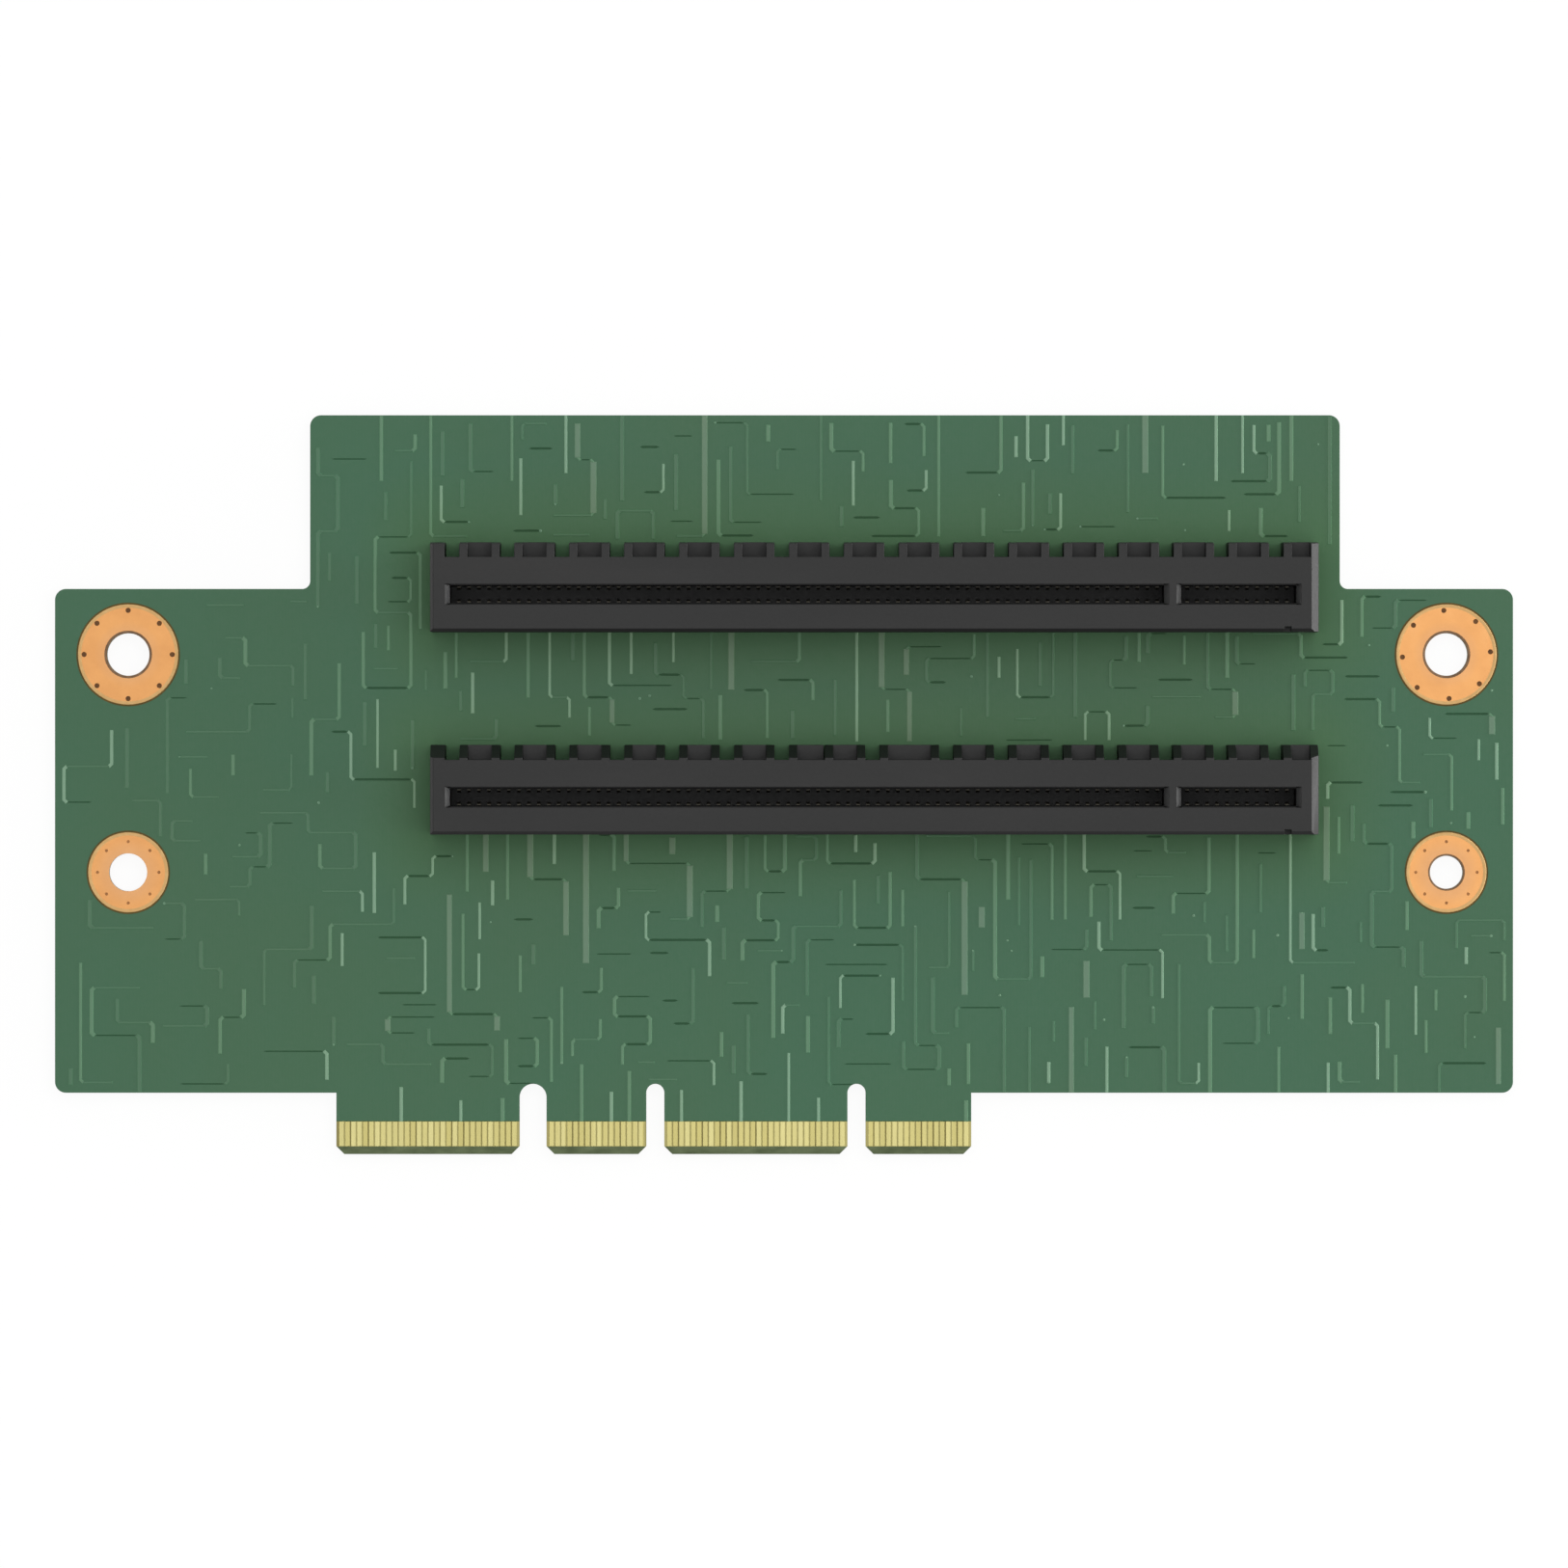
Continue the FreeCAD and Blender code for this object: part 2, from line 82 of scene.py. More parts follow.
# the CAD's own sizes, for places that no box gives
FINGER_PITCH, FINGER_WIDTH = 0.6 * MM, 0.44 * MM
BODY_EDGE_Y = -31.02 * MM  # the card's lower edge on both sides of the tongue
SHOULDER_Y = 19.71 * MM  # the wings' upper edge
HEAD_LEFT_X, HEAD_RIGHT_X = -47.71 * MM, 55.96 * MM  # the head rises between these
HOUSING_HALF = 3.75 * MM  # from a housing's lower edge to its slot's middle plane

# ---------------------------------------------------------------- camera, lights and floor

CAMERA_DISTANCE = 2000 * MM  # from the board's front face
CAMERA_RISE = 0.07 * MM  # above the board's middle
VIEW_WIDTH = 157.88 * MM  # seen across the frame at that face
SENSOR_MM = 36.0

camera_data = bpy.data.cameras.new("camera")
camera_data.sensor_width = SENSOR_MM
camera_data.lens = SENSOR_MM * CAMERA_DISTANCE / VIEW_WIDTH
camera_data.clip_end = 20
camera = placed("camera", camera_data)
camera.location = (0, CAMERA_RISE, FRONT + CAMERA_DISTANCE)
scene.camera = camera

LAMPS = (
    # name, place, point it is turned to, width, height, power in watts
    ("right_softbox", (1.25, 0.1, 0.36), (0, 0, 0), 0.9, 0.6, 2.5),
    ("overhead_softbox", (0.16, 0.2, 1.6), (0, 0, 0), 1.3, 1.3, 14.5),
    ("low_strip", (1.2, 0.0, 0.065), (0, 0, 0.01), 1.2, 0.11, 18.0),
    ("left_strip", (-1.2, 0.0, 0.065), (0, 0, 0.01), 1.2, 0.11, 4.3),
)


def area_light(name, place, aim, width, height, power):
    """A rectangular soft light at place, turned towards aim."""
    data = bpy.data.lights.new(name, "AREA")
    data.shape = "RECTANGLE"
    data.size, data.size_y = width, height
    data.energy = power
    lamp = placed(name, data)
    lamp.location = place
    lamp.rotation_euler = (Vector(aim) - Vector(place)).to_track_quat("-Z", "Y").to_euler()


for lamp_row in LAMPS:
    area_light(*lamp_row)

scene.view_settings.view_transform = "Standard"


def fresh_tree(owner):
    """The empty node tree of a world or material."""
    owner.use_nodes = True
    owner.node_tree.nodes.clear()
    return owner.node_tree


def white_light(tree, kind, strength):
    """A white background or emission."""
    made = tree.nodes.new(kind)
    made.inputs["Color"].default_value = (1, 1, 1, 1)
    made.inputs["Strength"].default_value = strength
    return made.outputs[0]


def joined(tree, operation, first, second):
    """One sum on a socket and a socket or number."""
    made = tree.nodes.new("ShaderNodeMath")
    made.operation = operation
    tree.links.new(first, made.inputs[0])
    if isinstance(second, bpy.types.NodeSocket):
        tree.links.new(second, made.inputs[1])
    else:
        made.inputs[1].default_value = second
    return made.outputs[0]


def finish_tree(tree, share, first, second, output):
    """Send a blend of two shaders to the output: all second where the share is 1."""
    blend = tree.nodes.new("ShaderNodeMixShader")
    for index, socket in enumerate((share, first, second)):
        tree.links.new(socket, blend.inputs[index])
    tree.links.new(blend.outputs[0], tree.nodes.new(output).inputs["Surface"])


WORLD_LEVEL = 0.36  # light from all round
WHITE_LEVEL = 1.0  # what the camera sees behind everything
PAPER = (0.96, 0.96, 0.96, 1)
FLOOR_GLOW = 1.02  # what is seen of the floor is mostly this glow, so that it stays white
FLOOR_GLOW_SHARE = 0.9
FLOOR_HALF = 4.0

world = bpy.data.worlds.new("studio")
scene.world = world
tree = fresh_tree(world)
rays = tree.nodes.new("ShaderNodeLightPath").outputs
finish_tree(
    tree,
    rays["Is Camera Ray"],
    white_light(tree, "ShaderNodeBackground", WORLD_LEVEL),
    white_light(tree, "ShaderNodeBackground", WHITE_LEVEL),
    "ShaderNodeOutputWorld",
)

floor_material = bpy.data.materials.new("floor")
tree = fresh_tree(floor_material)
paper = tree.nodes.new("ShaderNodeBsdfDiffuse")
paper.inputs["Color"].default_value = PAPER
rays = tree.nodes.new("ShaderNodeLightPath").outputs
seen = joined(tree, "MAXIMUM", rays["Is Camera Ray"], rays["Is Glossy Ray"])
seen = joined(tree, "MAXIMUM", seen, rays["Is Transmission Ray"])
finish_tree(
    tree,
    joined(tree, "MULTIPLY", seen, FLOOR_GLOW_SHARE),
    paper.outputs[0],
    white_light(tree, "ShaderNodeEmission", FLOOR_GLOW),
    "ShaderNodeOutputMaterial",
)

floor_mesh = bpy.data.meshes.new("floor")
floor_mesh.from_pydata([(-1, -1, 0), (1, -1, 0), (1, 1, 0), (-1, 1, 0)], [], [(0, 1, 2, 3)])
floor_mesh.materials.append(floor_material)
floor = placed("floor", floor_mesh)
floor.scale = (FLOOR_HALF, FLOOR_HALF, 1)

# ---------------------------------------------------------------- materials


def rgb(red, green, blue):
    """A colour given on the 0 to 255 display scale, as the shader's linear values."""
    values = []
    for part in (red, green, blue):
        part /= 255
        values.append(part / 12.92 if part <= 0.04045 else ((part + 0.055) / 1.055) ** 2.4)
    return (*values, 1.0)


class Paint:
    """A material under construction: one Principled shader and the nodes that feed it."""

    def __init__(self, name, roughness, metallic=0.0, specular=0.5):
        self.material = bpy.data.materials.new(name)
        self.material.use_nodes = True
        self.tree = self.material.node_tree
        self.shader = self.tree.nodes["Principled BSDF"]
        self.shader.inputs["Roughness"].default_value = roughness
        self.shader.inputs["Metallic"].default_value = metallic
        self.shader.inputs["Specular IOR Level"].default_value = specular
        self.place = self.tree.nodes.new("ShaderNodeTexCoord").outputs["Object"]

    def node(self, kind, inputs=(), **settings):
        """A node with settings, whose inputs are given as (name or index, value or socket)."""
        made = self.tree.nodes.new(kind)
        for key, value in settings.items():
            setattr(made, key, value)
        for key, value in inputs:
            if isinstance(value, bpy.types.NodeSocket):
                self.tree.links.new(value, made.inputs[key])
            else:
                made.inputs[key].default_value = value
        return made

    def stretched(self, scale):
        """The object's place in metres, times scale along each axis."""
        return self.node("ShaderNodeMapping", (("Vector", self.place), ("Scale", scale))).outputs[0]

    def noise(self, scale, detail, vector=None):
        """Noise from 0 to 1 with that many cells to the metre."""
        inputs = (("Vector", vector or self.place), ("Scale", scale), ("Detail", detail))
        return self.node("ShaderNodeTexNoise", inputs).outputs[0]

    def bands(self, distortion, detail_scale, direction):
        """Wavy bands that follow each other along one axis: woven cloth or its layers."""
        inputs = (
            ("Vector", self.place),
            ("Scale", 900),
            ("Distortion", distortion),
            ("Detail Scale", detail_scale),
        )
        settings = {"wave_type": "BANDS", "bands_direction": direction}
        return self.node("ShaderNodeTexWave", inputs, **settings).outputs[1]

    def each_pitch(self, start):
        """A random number for each finger's pitch, counted across the card from start."""
        along = self.math("SUBTRACT", self.axis(self.place, "X"), start)
        inputs = (("W", self.math("FLOOR", self.math("DIVIDE", along, FINGER_PITCH))),)
        return self.node("ShaderNodeTexWhiteNoise", inputs, noise_dimensions="1D").outputs[0]

    def math(self, operation, first, second=0.0):
        """One sum on two numbers or sockets."""
        inputs = ((0, first), (1, second))
        return self.node("ShaderNodeMath", inputs, operation=operation).outputs[0]

    def weighed(self, *parts):
        """The sum of parts given as (socket, weight)."""
        total = 0.0
        for socket, weight in parts:
            total = self.math("ADD", total, self.math("MULTIPLY", socket, weight))
        return total

    def ramp(self, factor, *stops):
        """A colour for each factor: stops are (factor, (red, green, blue) from 0 to 255)."""
        made = self.node("ShaderNodeValToRGB", ((0, factor),))
        while len(made.color_ramp.elements) < len(stops):
            made.color_ramp.elements.new(1.0)
        for element, (position, color) in zip(made.color_ramp.elements, stops):
            element.position = position
            element.color = rgb(*color)
        return made.outputs[0]

    def mix(self, factor, first, second):
        """A colour between two."""
        inputs = ((0, factor), (6, first), (7, second))
        return self.node("ShaderNodeMix", inputs, data_type="RGBA").outputs[2]

    def step(self, value, edge, width):
        """0 below edge and 1 above it, turning over that width."""
        inputs = ((0, value), (1, edge - width / 2), (2, edge + width / 2))
        return self.node("ShaderNodeMapRange", inputs).outputs[0]

    def axis(self, socket, name):
        """One coordinate of a vector."""
        return self.node("ShaderNodeSeparateXYZ", ((0, socket),)).outputs[name]

    def beside(self, low, high):
        """Flat distance in metres from a box given by its corners."""
        square = 0.0
        for name, least, most in (("X", low.x, high.x), ("Y", low.y, high.y)):
            off = self.math("SUBTRACT", self.axis(self.place, name), (least + most) / 2)
            off = self.math("SUBTRACT", self.math("ABSOLUTE", off), (most - least) / 2)
            off = self.math("MAXIMUM", off, 0.0)
            square = self.math("ADD", square, self.math("MULTIPLY", off, off))
        return self.math("SQRT", square)

    def nearest(self, boxes):
        """Flat distance in metres from the nearest of some boxes."""
        near, *others = [self.beside(*box) for box in boxes]
        for other in others:
            near = self.math("MINIMUM", near, other)
        return near

    def facing(self, name):
        """One coordinate of the surface's own normal."""
        return self.axis(self.node("ShaderNodeNewGeometry").outputs["Normal"], name)

    def color(self, socket):
        """Set the base colour."""
        self.tree.links.new(socket, self.shader.inputs["Base Color"])

    def roughness(self, factor, low, high):
        """Set a roughness between low and high by the factor."""
        inputs = ((0, factor), (3, low), (4, high))
        made = self.node("ShaderNodeMapRange", inputs)
        self.tree.links.new(made.outputs[0], self.shader.inputs["Roughness"])

    def bump(self, height, distance, strength):
        """Set a relief as deep as distance, in metres."""
        inputs = (("Height", height), ("Distance", distance), ("Strength", strength))
        made = self.node("ShaderNodeBump", inputs)
        self.tree.links.new(made.outputs[0], self.shader.inputs["Normal"])


def mask_paint(name, teal, olive, painted_slot_glow, roughness=0.44, specular=0.3):
    """Green solder mask, teal to olive, over weave and peel, with a painted warm glow by the slots
    that stands in for light the housings throw back.
    """
    paint = Paint(name, roughness, specular=specular)
    clouds = paint.weighed((paint.noise(26, 2), 0.7), (paint.noise(120, 3), 0.3))
    drift = paint.ramp(clouds, (0.38, olive), (0.62, teal))
    # painted light: within about 4 mm of the slot housings the colour turns to the warm glow,
    # standing in for light the housings throw back
    near = paint.nearest(housings.values())
    paint.color(paint.mix(paint.step(near, 4 * MM, 8 * MM), rgb(*painted_slot_glow), drift))
    weave = paint.bands(1.5, 1.0, "X")
    paint.bump(paint.weighed((paint.noise(900, 2), 1), (weave, 0.25)), 0.006 * MM, 0.6)
    paint.roughness(paint.noise(2600, 2), roughness - 0.06, roughness + 0.08)
    return paint


def board_paint():
    """The bare board under the copper: mask on its faces, laminate on edges, bevel and holes."""
    # teal, olive, and the painted warm glow by the slots
    green = ((34, 78, 49), (38, 78, 47), (36, 76, 41))
    paint = mask_paint("board_laminate_finish", *green, specular=0.15)
    mask = paint.shader.inputs["Base Color"].links[0].from_socket
    layers = paint.bands(0.6, 4.0, "Z")
    fibres = paint.noise(500, 3, paint.stretched((1, 1, 6)))
    edge = paint.ramp(
        paint.weighed((layers, 0.5), (fibres, 0.5)),
        (0.25, (66, 76, 50)),
        (0.6, (98, 104, 70)),
        (0.8, (144, 128, 82)),
    )
    bevel = paint.ramp(fibres, (0.3, (82, 94, 66)), (0.7, (110, 122, 90)))
    # the fingers stand on bare laminate, each gap between two in its own tone
    own = paint.each_pitch(finger_low.x + FINGER_WIDTH / 2)
    bed = paint.ramp(own, (0.1, (138, 128, 72)), (0.3, (168, 158, 97)), (0.6, (184, 175, 112)))
    height = paint.axis(paint.place, "Y")
    faced = paint.mix(paint.step(height, FINGER_TOP, 0.02 * MM), bed, mask)
    # how level the surface is: not at all on edges and in holes, partly so on the bevel
    level = paint.math("ABSOLUTE", paint.facing("Z"))
    bare = paint.mix(paint.step(level, 0.6, 0.1), edge, bevel)
    paint.color(paint.mix(paint.step(level, 0.97, 0.01), bare, faced))
    return paint.material


def copper_paint():
    """Bare copper with fine rubbed marks, worn round the holes, with a painted highlight that makes
    the rings right of the card's middle a little paler.
    """
    paint = Paint("ring_copper_finish_and_painted_highlight", 0.42, metallic=0.35)
    age = paint.noise(420, 4)
    # painted highlight: right of the card's middle the tone is lifted, standing in for light from
    # the right
    right = paint.step(paint.axis(paint.place, "X"), 0, MM)
    tone = paint.weighed((age, 1), (right, 0.12))
    clean = paint.ramp(tone, (0.37, (206, 143, 77)), (0.67, (219, 155, 87)), (0.92, (228, 166, 99)))
    worn = paint.ramp(age, (0.25, (200, 142, 84)), (0.8, (216, 159, 102)))
    centres = [Vector(centre) for centres, _ in ring_pairs.values() for centre in centres]
    near = paint.nearest([(centre, centre) for centre in centres])
    paint.color(paint.mix(paint.step(near, 2.8 * MM, 1.2 * MM), worn, clean))
    paint.bump(paint.noise(6000, 2, paint.stretched((1, 0.15, 1))), 0.003 * MM, 0.5)
    paint.roughness(age, 0.36, 0.5)
    return paint.material


def gold_paint():
    """Gold fingers: each takes its own tone, with wipe marks along it."""
    paint = Paint("finger_gold_finish", 0.36, metallic=0.45)
    own = paint.each_pitch(finger_low.x - (FINGER_PITCH - FINGER_WIDTH) / 2)
    wipes = paint.noise(2400, 3, paint.stretched((1, 0.06, 1)))
    tone = paint.weighed((own, 0.6), (wipes, 0.4))
    paint.color(
        paint.ramp(tone, (0.15, (168, 158, 92)), (0.5, (178, 169, 106)), (0.85, (188, 180, 120)))
    )
    paint.roughness(wipes, 0.28, 0.46)
    paint.bump(wipes, 0.002 * MM, 0.6)
    return paint.material


def plastic_paint():
    """Black moulded plastic: a fine spark texture over faint flow lines."""
    paint = Paint("slot_plastic_finish", 0.46, specular=0.26)
    spark = paint.noise(4200, 3)
    flow = paint.noise(160, 4, paint.stretched((0.25, 1, 1)))
    paint.color(paint.ramp(flow, (0.25, (26, 26, 26)), (0.55, (30, 30, 30)), (0.8, (36, 35, 35))))
    paint.bump(spark, 0.008 * MM, 0.5)
    paint.roughness(spark, 0.4, 0.54)
    return paint.material


def contact_paint():
    """Plated spring contacts, darkened: their dark colour is painted shade for the depth of the
    slot.
    """
    paint = Paint("contact_metal_darkened_as_painted_shade", 0.4, metallic=0.8)
    age = paint.noise(1500, 3)
    # painted shade: dark tones stand in for the shade deep in the slot
    paint.color(paint.ramp(age, (0.3, (43, 41, 37)), (0.7, (62, 59, 51))))
    paint.roughness(age, 0.34, 0.52)
    return paint.material


def speckle_paint(name, light, dark, roughness, metallic=0.0, specular=0.5):
    """A mottled finish between two tones."""
    paint = Paint(name, roughness, metallic=metallic, specular=specular)
    spots = paint.noise(1500, 4)
    paint.color(paint.ramp(spots, (0.3, dark), (0.7, light)))
    paint.bump(spots, 0.006 * MM, 0.5)
    paint.roughness(spots, roughness - 0.08, roughness + 0.1)
    return paint.material


# Lighter tones on the upright runs are in part the mask over copper and in part painted highlight,
# standing in for light from the side; the faint tone, which every raised level run takes, is in
# part painted shade.
TRACK_PAINTS = {
    # material, then its teal and olive tones, its painted warm glow by the slots, and its roughness
    "bright": ("mask_over_bright_tracks", (120, 158, 130), (120, 156, 126), (118, 154, 118), 0.36),
    "broad": ("mask_over_broad_tracks", (92, 128, 102), (96, 127, 99), (94, 126, 92), 0.38),
    "middling": ("mask_over_tracks", (86, 130, 98), (88, 128, 95), (86, 128, 90), 0.38),
    "faint": ("mask_over_faint_tracks", (66, 112, 82), (70, 110, 79), (68, 111, 73), 0.4),
}

board_material = board_paint()
# teal, olive, and the painted warm glow by the slots
mask_material = mask_paint(
    "mask_over_copper", (58, 104, 75), (61, 103, 72), (63, 106, 66), specular=0.25
).material
track_materials = {style: mask_paint(*row).material for style, row in TRACK_PAINTS.items()}
copper_material = copper_paint()
gold_material = gold_paint()
plastic_material = plastic_paint()
contact_material = contact_paint()
solder_material = speckle_paint("solder", (190, 190, 186), (150, 150, 146), 0.35, 0.7)
via_materials = {
    "upper": speckle_paint("large_via_bore", (122, 82, 44), (92, 60, 32), 0.6, specular=0.2),
    "lower": speckle_paint("small_via_bore", (186, 128, 76), (158, 106, 62), 0.6, specular=0.2),
}
lip_material = speckle_paint(
    "mask_lip_over_copper", (224, 182, 122), (212, 168, 106), 0.55, specular=0.15
)
halo_material = speckle_paint("mask_clearance", (104, 84, 40), (84, 72, 36), 0.6, specular=0.15)
bare_material = speckle_paint("bare_laminate", (142, 112, 84), (112, 86, 62), 0.6, specular=0.2)
cap_material = speckle_paint("via_cap", (116, 154, 124), (96, 136, 106), 0.45, specular=0.3)

# ---------------------------------------------------------------- mesh helpers

SHARP_EDGE = math.radians(35)  # smooth shading stops at edges that turn by more
MERGE = 1e-7  # the CAD's triangles are joined where their corners are this near
TINY = 1e-6  # shorter than this is nothing
PER_METRE = 1000  # plates are triangulated in millimetres
SAME_CORNER_MM = 1e-5  # corners nearer than this are one
FLAT = 0.99  # a face that looks straight up or down has at least this much normal along z
MITRE_LIMIT = 0.4  # bounds how far a corner reaches when a path is widened
ROUND_SEGMENTS = 64  # of a large circle
LIP_SEGMENTS = 72
VIA_SEGMENTS = 20
CAP_SEGMENTS = 10
PAD_SEGMENTS = 14
JOINT_SEGMENTS = 12


def smooth_by_angle(piece):
    """Smooth shading, kept sharp at edges that turn by more than the limit."""
    mesh = bmesh.new()
    mesh.from_mesh(piece.data)
    for face in mesh.faces:
        face.smooth = True
    for edge in mesh.edges:
        if len(edge.link_faces) == 2:
            edge.smooth = edge.calc_face_angle(0) < SHARP_EDGE
    mesh.to_mesh(piece.data)
    mesh.free()


def make_piece(name, points, faces, material, smooth=False):
    """A mesh object in the CAD's frame that rides on the card."""
    data = bpy.data.meshes.new(name)
    data.from_pydata([tuple(point) for point in points], [], faces)
    data.validate()
    data.materials.append(material)
    piece = placed(name, data)
    if smooth:
        smooth_by_angle(piece)
    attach(piece, "root")
    return piece


def mitre(before, after):
    """The direction halfway between two, and how much longer an offset across it has to be."""
    along = (before + after).normalized()
    return along, 1 / max(MITRE_LIMIT, along.dot(before))


class Faces:
    """Points and faces gathered for one piece."""

    def __init__(self):
        self.points = []
        self.faces = []

    def add(self, points, faces):
        """Take in points, and faces that count from the first of them."""
        first = len(self.points)
        self.points += points
        self.faces += [tuple(first + index for index in face) for face in faces]

    def strip(self, path, width, low, high, slope):
        """A raised strip along a flat path: level top, sloped flanks and ends."""
        half = width / 2
        rows = ((-half - slope, low), (-half, high), (half, high), (half + slope, low))
        points = []
        last = len(path) - 1
        for index, here in enumerate(path):
            before = (here - path[index - 1]).normalized() if index else None
            after = (path[index + 1] - here).normalized() if index < last else None
            along, stretch = mitre(before or after, after or before)
            side = Vector((-along.y, along.x))
            for offset, level in rows:
                reach = 0.0
                if level == low and before is None:
                    reach = -slope
                if level == low and after is None:
                    reach = slope
                spot = here + side * offset * stretch + along * reach
                points.append((spot.x, spot.y, level))
        faces = [(0, 1, 2, 3)]
        for index in range(last):
            for step in range(3):
                a = index * 4 + step
                faces.append((a, a + 4, a + 5, a + 1))
        end = last * 4
        faces.append((end + 3, end + 2, end + 1, end))
        self.add(points, faces)

    def lathe(self, x, y, profile, segments):
        """A round form about an upright axis; profile is (radius, z) from start to end."""
        points, faces = [], []
        for radius, z in profile:
            for step in range(segments):
                angle = TAU * step / segments
                points.append((x + radius * math.cos(angle), y + radius * math.sin(angle), z))
        for ring in range(len(profile) - 1):
            for step in range(segments):
                a = ring * segments + step
                b = ring * segments + (step + 1) % segments
                faces.append((a, b, b + segments, a + segments))
        self.add(points, faces)

    def flip(self):
        """Turn every face over."""
        self.faces = [tuple(reversed(face)) for face in self.faces]

    def piece(self, name, material, slot, direction, smooth=False):
        """Make the piece, with its faces turned over where the direction is -1."""
        if direction < 0:
            self.flip()
        return make_piece(name, self.points, self.faces, material, smooth)


def circle(x, y, radius, segments=ROUND_SEGMENTS):
    """A round loop of flat points."""
    angles = [TAU * step / segments for step in range(segments)]
    return [Vector((x + radius * math.cos(a), y + radius * math.sin(a))) for a in angles]


def turning(loop):
    """1 for a loop that runs counter-clockwise seen from above, -1 for the other way."""
    return 1 if sum(a.x * b.y - a.y * b.x for a, b in zip(loop, loop[1:] + loop[:1])) > 0 else -1


def plate(name, outlines, holes, base, rise, slope, material):
    """A plate inside the outlines and outside the holes, with sloped edges, from base by rise."""
    loops = [loop[:: turning(loop)] for loop in (*outlines, *holes)]
    flat, rings = [], []
    for loop in loops:
        rings.append(list(range(len(flat), len(flat) + len(loop))))
        flat += [point * PER_METRE for point in loop]
    points, _, faces, _, _, sources = delaunay_2d_cdt(flat, [], rings, 1, SAME_CORNER_MM)
    count = len(outlines)
    kept = [tuple(face) for face, source in zip(faces, sources) if source and max(source) < count]
    border = {}
    for face in kept:
        for start, finish in zip(face, face[1:] + face[:1]):
            if (finish, start) in border:
                del border[(finish, start)]
            else:
                border[(start, finish)] = True
    outward = {}
    for start, finish in border:
        way = (points[finish] - points[start]).normalized()
        normal = Vector((way.y, -way.x))
        for corner in (start, finish):
            outward[corner] = outward.get(corner, Vector((0, 0))) + normal
    made = [(point.x * MM, point.y * MM, base + rise) for point in points]
    foot = {}
    for corner, way in outward.items():
        way = way.normalized() if way.length > TINY else Vector((0, 0))
        foot[corner] = len(made)
        spot = points[corner] * MM + way * slope
        made.append((spot.x, spot.y, base))
    walls = [(start, foot[start], foot[finish], finish) for start, finish in border]
    faces = kept + walls
    if rise < 0:
        faces = [tuple(reversed(face)) for face in faces]
    return make_piece(name, made, faces, material)


# ---------------------------------------------------------------- loops round the board


def len_round(loop):
    """Length round a loop."""
    return sum((loop[i] - loop[i - 1]).length for i in range(len(loop)))


def board_loops(level, direction):
    """Closed loops round the board's flat face at that level, as flat points, longest first."""
    mesh = bmesh.new()
    mesh.from_mesh(nodes["riser_board"].data)
    bmesh.ops.remove_doubles(mesh, verts=mesh.verts, dist=MERGE)
    follow = {}
    for face in mesh.faces:
        height = face.calc_center_median().z
        if face.normal.z * direction < FLAT or abs(height - level) > TINY:
            continue
        for loop in face.loops:
            other = [f for f in loop.edge.link_faces if f is not face]
            if other and other[0].normal.z * direction < FLAT:
                follow[loop.vert.index] = loop.link_loop_next.vert.index
    places = {vert.index: Vector((vert.co.x, vert.co.y)) for vert in mesh.verts}
    mesh.free()
    loops = []
    while follow:
        start = next(iter(follow))
        chain = [start]
        here = follow.pop(start)
        while here != start and here in follow:
            chain.append(here)
            here = follow.pop(here)
        loops.append([places[index] for index in chain])
    return sorted(loops, key=len_round, reverse=True)


def inset(loop, amount):
    """The loop moved inwards by amount."""
    turn = turning(loop)
    moved = []
    for index, here in enumerate(loop):
        before = (here - loop[index - 1]).normalized()
        after = (loop[(index + 1) % len(loop)] - here).normalized()
        along, stretch = mitre(before, after)
        moved.append(here + Vector((-along.y, along.x)) * turn * amount * stretch)
    return moved


def lifted_above(loop, limit):
    """The loop with what lies below the limit pushed up to it, and repeats dropped."""
    raised = [Vector((point.x, max(point.y, limit))) for point in loop]
    return [p for i, p in enumerate(raised) if (p - raised[i - 1]).length > MERGE]


# ---------------------------------------------------------------- routing

POUR_RISE = 0.03 * MM
POUR_INSET = 0.03 * MM  # from the board's outline
POUR_SLOPE = 0.02 * MM
MASK_STOP = FINGER_TOP + 0.04 * MM  # the pour and its mask end here, above the fingers
HALO = 0.2 * MM  # clear band round each mounting ring
TRACK_RISE = 0.025 * MM  # above the pour
TRACK_SLOPE = 0.06 * MM
THIN_TRACK = 0.14 * MM
BROAD_TRACK = 0.38 * MM  # tracks from this width on don't bend: thin ones lead off from them
CORNER_CUT = 0.26 * MM
CELL = 0.4 * MM  # grid on which the routing keeps its distances
TRACK_MARGIN = 0.75 * MM  # kept from the outline, the rings and the slots
SLIT_POINT = 0.3 * MM  # length of a gap's pointed end
QUIET_X = HEAD_LEFT_X + 6 * MM  # routing left of this is fainter, and on the front sparser
QUIET_KINDS = ("faint", "faint", "faint", "thin_gap")
RIGHT_OF_TONGUE_X = 20.5 * MM  # tracks come in from the card's lower edge from here on
GAP_WIDTHS = {"gap": 0.24 * MM, "thin_gap": 0.14 * MM}

# share of the paths, widths in mm of the upright runs, and what the level runs may be
Style = namedtuple("Style", "share widths kinds")
TRACK_STYLES = {
    "bright": Style(0.24, (0.14, 0.18, 0.22), ("gap", "gap", "thin_gap", "faint")),
    "broad": Style(0.08, (0.4, 0.46, 0.52), ("gap", "thin_gap", "faint")),
    "middling": Style(0.34, (0.18, 0.24, 0.3), ("gap", "gap", "thin_gap", "faint")),
    "faint": Style(0.34, (0.18, 0.26, 0.34), ("gap", "thin_gap", "thin_gap", "faint")),
}


